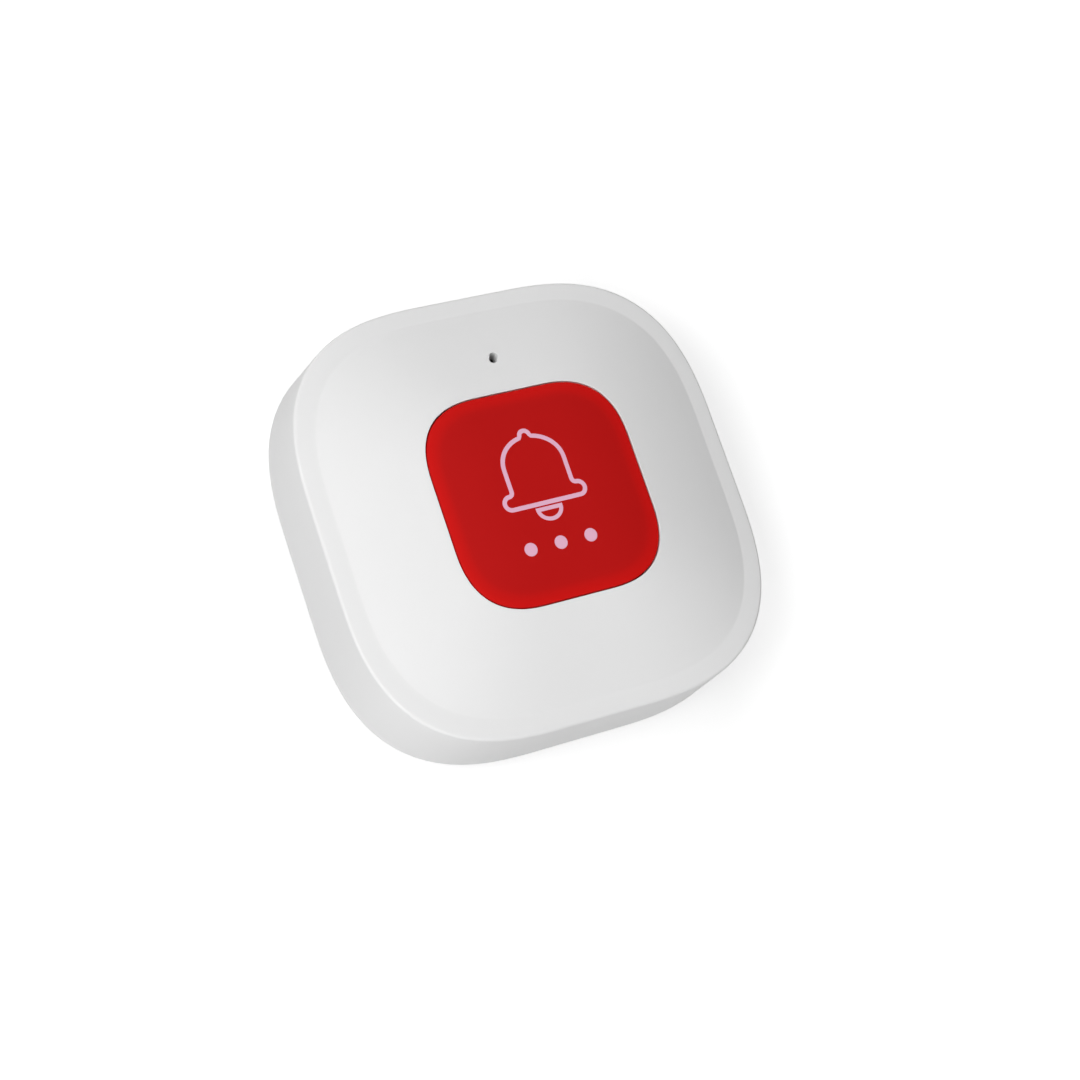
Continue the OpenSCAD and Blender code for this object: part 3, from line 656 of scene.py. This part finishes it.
# Push switch: a 6 mm square switch soldered in the middle of the board. A moulded base holds a
# snap dome of spring steel, a pressed cover plate closes it, and a plunger stands through that.
well_z, stem_low, collar_top, plunger_top, collar_r, stem_r = 9.9, 10.9, 11.75, 13.2, 2.2, 1.7
snap_r, snap_rise, snap_t, snap_rest = 2.2, 0.85, 0.1, 0.47

# Black glass-filled nylon: matt, faintly mottled by its fibres.
black_nylon = finish("black_glass_filled_nylon", "#202021", 0.55, grain=0.18, depth=0.004,
                     mottle=0.7, shade=0.72)
# Tinned steel sheet: bright with fine rolling lines along one axis.
tinned_sheet = finish("tinned_steel_sheet", "#cbcbc8", 0.27, 1.0, grain=0.5, depth=0.001,
                      mottle=2, shade=0.88, stretch=(0.12, 1, 1))
# Nickel plated spring steel: warm, smooth and bright.
nickel_strip = finish("nickel_plated_spring_steel", "#d0c9ba", 0.22, 1.0, grain=0.35,
                      depth=0.0006, mottle=1.6, shade=0.9, stretch=(1, 0.2, 1))
dressed(softened("switch_housing", "switch_base", 0.12), black_nylon, "housing",
        ["switch_base"])
dressed(softened("switch_legs", "switch_terminals", 0.04), solder_tin, "housing",
        ["switch_terminals"])
dressed(softened("switch_lid", "switch_cover_plate", 0.06), tinned_sheet, "housing",
        ["switch_cover_plate"])
sphere_r = (snap_r ** 2 + snap_rise ** 2) / (2 * snap_rise)
bow = np.linspace(0, math.asin(snap_r / sphere_r), 14)
upper = [(sphere_r * math.sin(a), well_z + snap_t + snap_rise - sphere_r * (1 - math.cos(a)))
         for a in bow]
lower = [(r, max(z - snap_t, well_z)) for r, z in reversed(upper)]
snap = turned("snap_dome", upper + lower, parts=64)
dressed(snap, nickel_strip, "housing", ["switch_dome"])
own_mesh(snap)
stem = [(0, stem_low, 0), (collar_r, stem_low, 0.12), (collar_r, collar_top, 0.1),
        (stem_r, collar_top, 0.05), (stem_r, plunger_top, 0.25), (0, plunger_top, 0)]
dressed(turned("switch_stem", rounded(stem), parts=56), black_nylon, "plunger",
        ["switch_plunger"])


# Light emitter: a small white body moulded in nylon, with a clear lens of cast resin. It is
# soldered to the board straight under the indicator hole.
lens_low, lens_top, lens_r = 9.7, 10.5, 1.0

# White nylon: opaque and satin.
white_nylon = finish("white_moulded_nylon", "#e4e2da", 0.45, grain=0.15, depth=0.002, mottle=1)
# Clear cast resin: glossy, with a slight haze.
clear_resin = finish("clear_cast_resin", "#e8f0f2", 0.12, grain=0.4, depth=0.0004, mottle=0.8,
                     shade=0.97)
clear_resin.node_tree.nodes["surface"].inputs["Transmission Weight"].default_value = 0.85
dressed(softened("emitter_body", "led_body", 0.1), white_nylon, "housing",
        ["led_body"])
lens = [(0, lens_low, 0), (lens_r, lens_low, 0.05), (lens_r, lens_top, 0.22), (0, lens_top, 0)]
lens = turned("emitter_lens", rounded(lens, 6), (0, hole_y), 48)
dressed(lens, clear_resin, "housing", ["led_lens"])


# Radio module: a small board with blue solder mask, soldered by its half-round edge pads. It
# carries a pressed shield can and a ceramic antenna with silvered ends.
radio_low, radio_high = (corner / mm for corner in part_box("radio_board"))
blue_mask = tracked("blue_solder_mask_on_laminate", "#12285c", "#20407f", 0.6, 2.5)
radio = softened("radio_laminate", "radio_board", 0.05)
dressed(radio, blue_mask, "housing", ["radio_board"])
second_finish(radio, sawn_laminate,
              lambda at: radio_low.z + bevel_reach < at.z < radio_high.z - bevel_reach)
dressed(softened("radio_shield", "radio_shield_can", 0.16, 3), tinned_sheet, "housing",
        ["radio_shield_can"])
edge_r, edge_inset, edge_low, edge_top = 0.32, 0.28, board_top + 0.02, radio_high.z + 0.03
edge_pad = [(0, edge_low, 0), (edge_r, edge_low, 0.05), (edge_r, edge_top, 0.05), (0, edge_top, 0)]
edge_pad = turned("edge_pad", rounded(edge_pad, 3), parts=20)
pad_places = [(x, y, 0) for x in (radio_low.x + edge_inset, radio_high.x - edge_inset)
              for y in np.arange(-5.6, 2.1, 1.1)]
pads = repeated("radio_edge_pads", edge_pad, pad_places, solder_tin)
dressed(pads, solder_tin, "housing")


def brick(name, low, high, edge):
    """Block between two corners with rounded edges."""
    corners = [(x, y, z) for z in (low[2], high[2]) for y in (low[1], high[1])
               for x in (low[0], high[0])]
    sides = [(0, 2, 3, 1), (4, 5, 7, 6), (0, 1, 5, 4), (2, 6, 7, 3), (0, 4, 6, 2), (1, 3, 7, 5)]
    piece = solid(name, corners, sides)
    step = piece.modifiers.new("edges", "BEVEL")
    step.width, step.segments = edge * mm, 2
    return applied(piece)


# Fired ceramic: pale, matt and faintly speckled.
ceramic = finish("fired_ceramic", "#cfc5ae", 0.6, grain=0.1, depth=0.003, mottle=0.5, shade=0.86)
low, high = (list(corner / mm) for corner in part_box("chip_antenna"))
dressed(softened("antenna_block", "chip_antenna", 0.08), ceramic, "housing",
        ["chip_antenna"])
cap_half, cap_inset, film = 0.35, 0.33, 0.02
cap = brick("antenna_cap", [-cap_half, low[1] - film, low[2]],
            [cap_half, high[1] + film, high[2] + film], 0.06)
places = [(low[0] + cap_inset, 0, 0), (high[0] - cap_inset, 0, 0)]
dressed(repeated("antenna_caps", cap, places, solder_tin), solder_tin, "housing")


# Small parts: the controller, crystal, regulator, bulk capacitor and chip resistors, each
# moulded or fired round its terminals and soldered to the board.

# Black moulding epoxy: matt dark grey with a fine sand.
black_epoxy = finish("black_moulding_epoxy", "#2a2a2c", 0.62, grain=0.12, depth=0.004,
                     mottle=0.6, shade=0.8)
# Yellow moulding epoxy of the capacitor: satin ochre.
yellow_epoxy = finish("yellow_moulding_epoxy", "#d19c2f", 0.5, grain=0.14, depth=0.003,
                      mottle=0.8, shade=0.88)
low, high = (list(corner / mm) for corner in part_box("controller_chip"))
chip = softened("controller_body", "controller_chip", 0.07)
mark_low, mark_top, mark_inset = high[2] - 0.06, high[2] + 0.1, 0.7
mark = [(0, mark_low), (0.25, mark_low), (0.32, mark_top), (0, mark_top)]
mark = turned("mark", mark, (low[0] + mark_inset, high[1] - mark_inset), 28)
combined(chip, [mark], "DIFFERENCE")
dressed(chip, black_epoxy, "housing", ["controller_chip"])
pin_half, pin_h, pin_step, pin_out = 0.14, 0.22, 0.6, 0.04
middle = [(a + b) / 2 for a, b in zip(low, high)]
for name, axis in (("controller_pads_x", 0), ("controller_pads_y", 1)):
    size = [pin_half, pin_half]
    size[axis] = (high[axis] - low[axis]) / 2 + pin_out
    pin = brick("pin", [-size[0], -size[1], board_top], size + [board_top + pin_h], 0.03)
    steps = [middle[1 - axis] + pin_step * (i - 3) for i in range(7)]
    places = [(middle[0], step, 0) if axis == 0 else (step, middle[1], 0) for step in steps]
    dressed(repeated(name, pin, places, solder_tin), solder_tin, "housing")

dressed(softened("crystal_can", "clock_crystal", 0.18, 4), tinned_sheet, "housing",
        ["clock_crystal"])

low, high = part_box("voltage_regulator")
middle_y, body_reach = (low.y + high.y) / 2 / mm, 0.83
regulator = softened("regulator_body", "voltage_regulator", 0.05)
dressed(regulator, black_epoxy, "housing", ["voltage_regulator"])
second_finish(regulator, solder_tin, lambda at: abs(at.y - middle_y) > body_reach)

low, high = (list(corner / mm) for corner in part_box("bulk_capacitor"))
capacitor = softened("capacitor_body", "bulk_capacitor", 0.14, 3)
dressed(capacitor, yellow_epoxy, "housing", ["bulk_capacitor"])
tab_half, tab_h, tab_inset, tab_sink = 0.12, 1.1, 0.5, 0.02
tab = brick("tab", [-tab_half, low[1] + tab_inset, board_top],
            [tab_half, high[1] - tab_inset, board_top + tab_h], 0.05)
places = [(low[0] + tab_sink, 0, 0), (high[0] - tab_sink, 0, 0)]
tabs = repeated("capacitor_tabs", tab, places, solder_tin)
dressed(tabs, solder_tin, "housing")

row_step, end_half_y, end_at = 1.8, 0.4, 0.65
first_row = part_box("chip_passives")[1].y / mm - end_half_y
places = [(x, first_row - row_step * i, 0) for x in (-1.6, 1.6) for i in range(3)]
body = brick("body", [-0.72, -0.38, board_top], [0.72, 0.38, board_top + 0.56], 0.05)
resistors = repeated("resistor_bodies", body, places, ceramic)
dressed(resistors, ceramic, "housing", ["chip_passives"])
cap = brick("cap", [-0.15, -end_half_y, board_top], [0.15, end_half_y, board_top + 0.6], 0.05)
ends = [(x + side * end_at, y, 0) for x, y, _ in places for side in (-1, 1)]
dressed(repeated("resistor_ends", cap, ends, solder_tin), solder_tin, "housing")


# Battery holder, contacts and cell: a black ring under the board keeps the coin cell in place
# between two strips of spring steel, one at its side and one on its middle.
cell_r, cell_low, cell_high, cap_r, cap_z = 12.25, 1.7, 6.7, 10.3, 6.4
base_r, base_step, groove_z = 10.9, 1.76, 6.28
dressed(softened("cell_ring", "battery_holder", 0.15), black_nylon, "housing",
        ["battery_holder"])
for name, node in (("side_contact", "positive_contact"), ("middle_contact", "negative_contact")):
    dressed(softened(name, node, 0.06), nickel_strip, "housing", [node])

# Satin stainless steel of the cell's can, drawn and tumbled: pale and evenly soft.
cell_steel = finish("satin_stainless_steel", "#c9c9c6", 0.3, 1.0, grain=0.3, depth=0.001,
                    mottle=3, shade=0.9)
can = [(0, cell_low, 0), (base_r, cell_low, 0.2), (base_r + 0.15, base_step, 0.1),
       (cell_r, base_step, 0.45), (cell_r, cap_z, 0.5), (cap_r + 0.35, cap_z, 0.05),
       (cap_r + 0.3, groove_z, 0), (cap_r, groove_z, 0.04), (cap_r - 0.1, cell_high, 0.18),
       (0, cell_high, 0)]
dressed(turned("coin_cell_can", rounded(can), parts=112), cell_steel, "housing",
        ["coin_cell"])


# Gasket: a moulded ring of grey silicone rubber, pressed between the cover's spigot and the
# step inside the front.
band_in, band_out, band_low, band_top, band_round = 21.92, 23.36, 4.21, 4.79, 0.2

# Silicone rubber: dark, matt and even.
silicone = finish("grey_silicone_rubber", "#4a4b4e", 0.72, grain=0.2, depth=0.004, mottle=1.5,
                  shade=0.88)
band = [(band_in, band_low, band_round), (band_out, band_low, band_round),
        (band_out, band_top, band_round), (band_in, band_top, band_round)]
points, quads = skin([at_height(outline(h), z) for h, z in rounded(band, 4)], closed=True)
dressed(solid("case_gasket", points, quads.values()), silicone, "housing",
        ["cover_gasket"])


# Back cover: the flat back with its rounded lower edge, moulded in the same white ABS. A spigot
# plugs into the front, four pillars meet its bosses, and a stepped round opening takes the door.
back_flat, edge_round, spigot_half, spigot_inner, floor_top = 22.3, 2.7, 23.37, 21.92, 2.0
pillar_r, root_z, screw_seat, head_bore, shank_bore = 2.2, 1.9, 1.8, 2.0, 1.1
lug_turns, lug_span, door_turn, stop_in, stop_top = (0, 120, 240), 24, 40, 15.06, 2.9
door_low, door_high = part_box("battery_door")
door_flange = door_high.x / mm
counterbore, lip_z, opening_r, notch_r = door_flange + 0.2, 1.125, 14.96, 16.3
edge = [(back_flat + edge_round * math.cos(a), edge_round + edge_round * math.sin(a))
        for a in np.linspace(-math.pi / 2, -0.05, 12)]
upper = [edge[-1] + (0,), (body_half, parting_z, 0.07), (spigot_half, parting_z, 0.05),
         (spigot_half, spigot_top, 0.25), (spigot_inner, spigot_top, 0.2),
         (spigot_inner, floor_top, 0.4), (spigot_inner - 1, floor_top, 0)]
square = edge[:-1] + rounded(upper, 4)
bore = [(opening_r + 1.5, floor_top, 0), (opening_r, floor_top, 0.1), (opening_r, lip_z, 0.05),
        (counterbore, lip_z, 0.1), (counterbore, 0, 0.2), (counterbore + 1, 0, 0)]
bearing = outline(back_flat)
bearing = bearing / np.linalg.norm(bearing, axis=1)[:, None]
rings = [at_height(outline(h), z) for h, z in square]
rings += [at_height(bearing * r, z) for r, z in rounded(bore)]
points, quads = skin(rings, closed=True)
back = solid("case_back", points, quads.values())


def sector(name, inner, outer, middle, span, low, high, parts=10):
    """Part of a flat ring, given by its middle and span in degrees."""
    rings = []
    for a in np.radians(np.linspace(middle - span / 2, middle + span / 2, parts + 1)):
        c, s = math.cos(a), math.sin(a)
        rings.append([(r * c, r * s, z)
                      for r, z in ((inner, low), (outer, low), (outer, high), (inner, high))])
    points, quads = skin(rings)
    ends = [(0, 1, 2, 3), tuple(len(points) - 4 + i for i in (3, 2, 1, 0))]
    return solid(name, points, list(quads.values()) + ends)


pillar = [(0, root_z, 0), (pillar_r, root_z, 0), (pillar_r, spigot_top, 0.15),
          (0, spigot_top, 0)]
added = [turned("pillar", rounded(pillar, 3), place, 40) for place in cover_screw_places]
added += [sector("stop", stop_in, notch_r, a + 16, 4, root_z, stop_top, 4) for a in lug_turns]
combined(back, added, "UNION")
recess = [(0, -0.2), (head_bore + 0.36, -0.2), (head_bore + 0.2, 0), (head_bore + 0.04, 0.1),
          (head_bore, 0.2), (head_bore, screw_seat), (shank_bore, screw_seat), (shank_bore, 5),
          (0, 5)]
cuts = [turned("recess", recess, place, 48) for place in cover_screw_places]
cuts += [sector("notch", opening_r - 1, notch_r, a - door_turn, lug_span + 4, lip_z - 0.5, 2.5)
         for a in lug_turns]
combined(back, cuts, "DIFFERENCE")
dressed(back, white_abs, "housing", ["back_cover"])


# Cover screws: four pan-head screws with a cross recess, zinc plated steel, driven from the
# back through the cover's pillars into the bosses of the front.
screw = pan_screw("cover_screw", shank_r=1.0, length=8.0, head_r=1.75, head_h=1.2, pitch=0.45)
places = at_height(cover_screw_places, screw_seat)
screws = repeated("case_screws", screw, places, zinc_steel, turn=0.7)
dressed(screws, zinc_steel, "housing", ["cover_screws"])


# Battery door: a round bayonet door of white ABS that lies just under the back face. A coin
# turns it by the slot across its middle, and three lugs on its plug lock it behind the cover.
door_face, door_step, door_floor, lug_low, lug_top = door_low.z / mm, 0.8, 1.6, 2.1, 2.9
plug_r, ring_r, lug_r = 14.9, 13.5, 16.1
disc = [(0, door_face, 0), (door_flange, door_face, 0.2), (door_flange, door_step, 0.08),
        (plug_r, door_step, 0.05), (plug_r, lug_top, 0.2), (ring_r, lug_top, 0.2),
        (ring_r, door_floor, 0.3), (0, door_floor, 0)]
door = turned("coin_door", rounded(disc), parts=128)
lugs = [sector("lug", plug_r - 0.6, lug_r, a, lug_span, lug_low, lug_top) for a in lug_turns]
combined(door, lugs, "UNION")


def slot_cutter(length, width, low, top, flare):
    """Round-ended slot whose mouth opens out a little."""
    rings = []
    flared = [(flare + 0.25, low - 0.25), (flare, low), (flare * 0.3, low + flare * 0.6),
              (0, low + flare * 1.4), (0, top)]
    for grow, z in flared:
        r, reach = width / 2 + grow, (length - width) / 2
        flat = [(reach + x, y) for x, y in arc((0, 0), r, r, -90, 90, 13)]
        flat += [(x - reach, y) for x, y in arc((0, 0), r, r, 90, 270, 13)]
        rings.append(at_height(flat, z))
    points, quads = skin(rings)
    last = len(points) - len(rings[0])
    ends = [tuple(range(len(rings[0]))), tuple(range(last, len(points)))]
    return solid("slot", points, list(quads.values()) + ends)


slot = slot_cutter(length=16, width=2, low=door_face, top=door_face + 0.8, flare=0.15)
combined(door, [slot], "DIFFERENCE")
dressed(door, white_abs, "door", ["battery_door"])


# Door seal: a flat ring of the same silicone rubber. It lies on the door's flange and is pressed
# against the step in the cover.
seal_in, seal_out, seal_low, seal_top, seal_round = 16.4, 17.1, 0.81, 1.09, 0.1
ring = [(seal_in, seal_low, seal_round), (seal_out, seal_low, seal_round),
        (seal_out, seal_top, seal_round), (seal_in, seal_top, seal_round)]
seal = turned("door_ring_seal", rounded(ring, 4), parts=112, closed=True)
dressed(seal, silicone, "door", ["door_seal"])


# Stage: a pale floor under the back of the case, soft light from the left and from around, and
# the camera at the photographed angle. The floor is open under the back, so that the battery
# door can be looked at from below by the light of the room.
floor_edge, floor_spread = outline(back_flat - 0.05), 180
points, quads = skin([at_height(floor_edge, 0), at_height(floor_edge * floor_spread, 0)])
floor = bpy.data.objects.new("floor", bpy.data.meshes.new("floor"))
floor.data.from_pydata([tuple(mm * c for c in point) for point in points], [], list(quads.values()))
bpy.context.scene.collection.objects.link(floor)


def seen(tree):
    """One for rays of the camera, of mirrors and of glass, and zero for light on the object."""
    path = add(tree, "ShaderNodeLightPath")
    both = add(tree, "ShaderNodeMath", operation="MAXIMUM",
               links={0: path.outputs["Is Camera Ray"], 1: path.outputs["Is Glossy Ray"]})
    return add(tree, "ShaderNodeMath", operation="MAXIMUM",
               links={0: both.outputs[0], 1: path.outputs["Is Transmission Ray"]}).outputs[0]


# Matt studio card, lifted to white for the eye only, and fully so far away. On the side away from
# the key lamp it is paler, and throws light back on the shaded wall of the case.
card = bpy.data.materials.new("matt_studio_card")
card.use_nodes = True
tree = card.node_tree
tree.nodes.clear()
spot = add(tree, "ShaderNodeTexCoord")
axes = add(tree, "ShaderNodeSeparateXYZ", links={0: spot.outputs["Object"]})
pale = add(tree, "ShaderNodeMapRange", {"From Min": 22 * mm, "From Max": 40 * mm},
           {"Value": axes.outputs["X"]})
tone = add(tree, "ShaderNodeMix", {6: linear("#b8b8b8"), 7: linear("#f2f2f2")},
           {0: pale.outputs[0]}, data_type="RGBA")
near_lift = add(tree, "ShaderNodeMapRange", {"To Min": 0.65, "To Max": 0.48},
                {"Value": pale.outputs[0]})
reach = add(tree, "ShaderNodeVectorMath", links={0: spot.outputs["Object"]}, operation="LENGTH")
far_lift = add(tree, "ShaderNodeMapRange", {"From Min": 120 * mm, "From Max": 300 * mm},
               {"Value": reach.outputs["Value"]})
lift = add(tree, "ShaderNodeMath", links={0: near_lift.outputs[0], 1: far_lift.outputs[0]},
           operation="MAXIMUM")
lift = add(tree, "ShaderNodeMath", links={0: lift.outputs[0], 1: seen(tree)}, operation="MULTIPLY")
matt = add(tree, "ShaderNodeBsdfDiffuse", links={"Color": tone.outputs[2]})
glow = add(tree, "ShaderNodeEmission", {"Color": (1, 1, 1, 1)}, {"Strength": lift.outputs[0]})
both = add(tree, "ShaderNodeAddShader", links={0: matt.outputs[0], 1: glow.outputs[0]})
add(tree, "ShaderNodeOutputMaterial", links={"Surface": both.outputs[0]})
floor.data.materials.append(card)

# Soft room: white for the eye, dim light from above on the object, and more from below the floor.
room = bpy.data.worlds.new("soft_room")
bpy.context.scene.world = room
room.use_nodes = True
tree = room.node_tree
tree.nodes.clear()
way = add(tree, "ShaderNodeTexCoord")
height = add(tree, "ShaderNodeSeparateXYZ", links={0: way.outputs["Generated"]})
level = add(tree, "ShaderNodeMapRange",
            {"From Min": -0.02, "From Max": 0.02, "To Min": 0.35, "To Max": 0.03},
            {"Value": height.outputs["Z"]})
level = add(tree, "ShaderNodeMath", operation="MAXIMUM", links={0: level.outputs[0], 1: seen(tree)})
sky = add(tree, "ShaderNodeBackground", {"Color": (1, 1, 1, 1)}, {"Strength": level.outputs[0]})
add(tree, "ShaderNodeOutputWorld", links={"Surface": sky.outputs[0]})


def lamp(name, place, size, watts):
    """Square soft lamp that faces the middle of the case."""
    light = bpy.data.lights.new(name, "AREA")
    light.shape, light.size, light.energy = "SQUARE", size, watts
    holder = bpy.data.objects.new(name, light)
    bpy.context.scene.collection.objects.link(holder)
    holder.location = place
    ahead = Vector((0, 0, 0.01)) - Vector(place)
    holder.rotation_euler = ahead.to_track_quat("-Z", "Y").to_euler()
    return holder


lamp("key_from_left", (-0.4243, 0.0, 0.4243), 0.3, 2.18)
lamp("fill_from_lower_left", (-0.3674, -0.3674, 0.3), 0.3, 0.62)
lamp("overhead", (0.0, 0.0, 0.6), 0.3, 0.54)
lamp("low_front", (0.0, -0.5796, 0.1553), 0.25, 0.92)
lamp("back_light", (0.0, 0.4596, 0.3857), 0.3, 0.9)
lamp("from_below", (-0.35, 0.1, -0.4), 0.15, 1.5)

# The camera's own axes and its distance from its aim, as the outline of the case gives them.
right, up = (0.89289, -0.31553, 0.32123), (0.21817, 0.92723, 0.30437)
away, aim, distance = (-0.3939, -0.20168, 0.89676), (0, 0, 0.0027), 0.248378
eye = bpy.data.cameras.new("camera")
eye.sensor_width, eye.lens, eye.clip_start = 36, 73.65, 0.01
eye.shift_x, eye.shift_y = 0.03135, -0.01045
camera = bpy.data.objects.new("camera", eye)
bpy.context.scene.collection.objects.link(camera)
place = Vector(aim) + Vector(away) * distance
camera.matrix_world = Matrix.Translation(place) @ Matrix((right, up, away)).transposed().to_4x4()
bpy.context.scene.camera = camera
bpy.context.scene.view_settings.view_transform = "Standard"
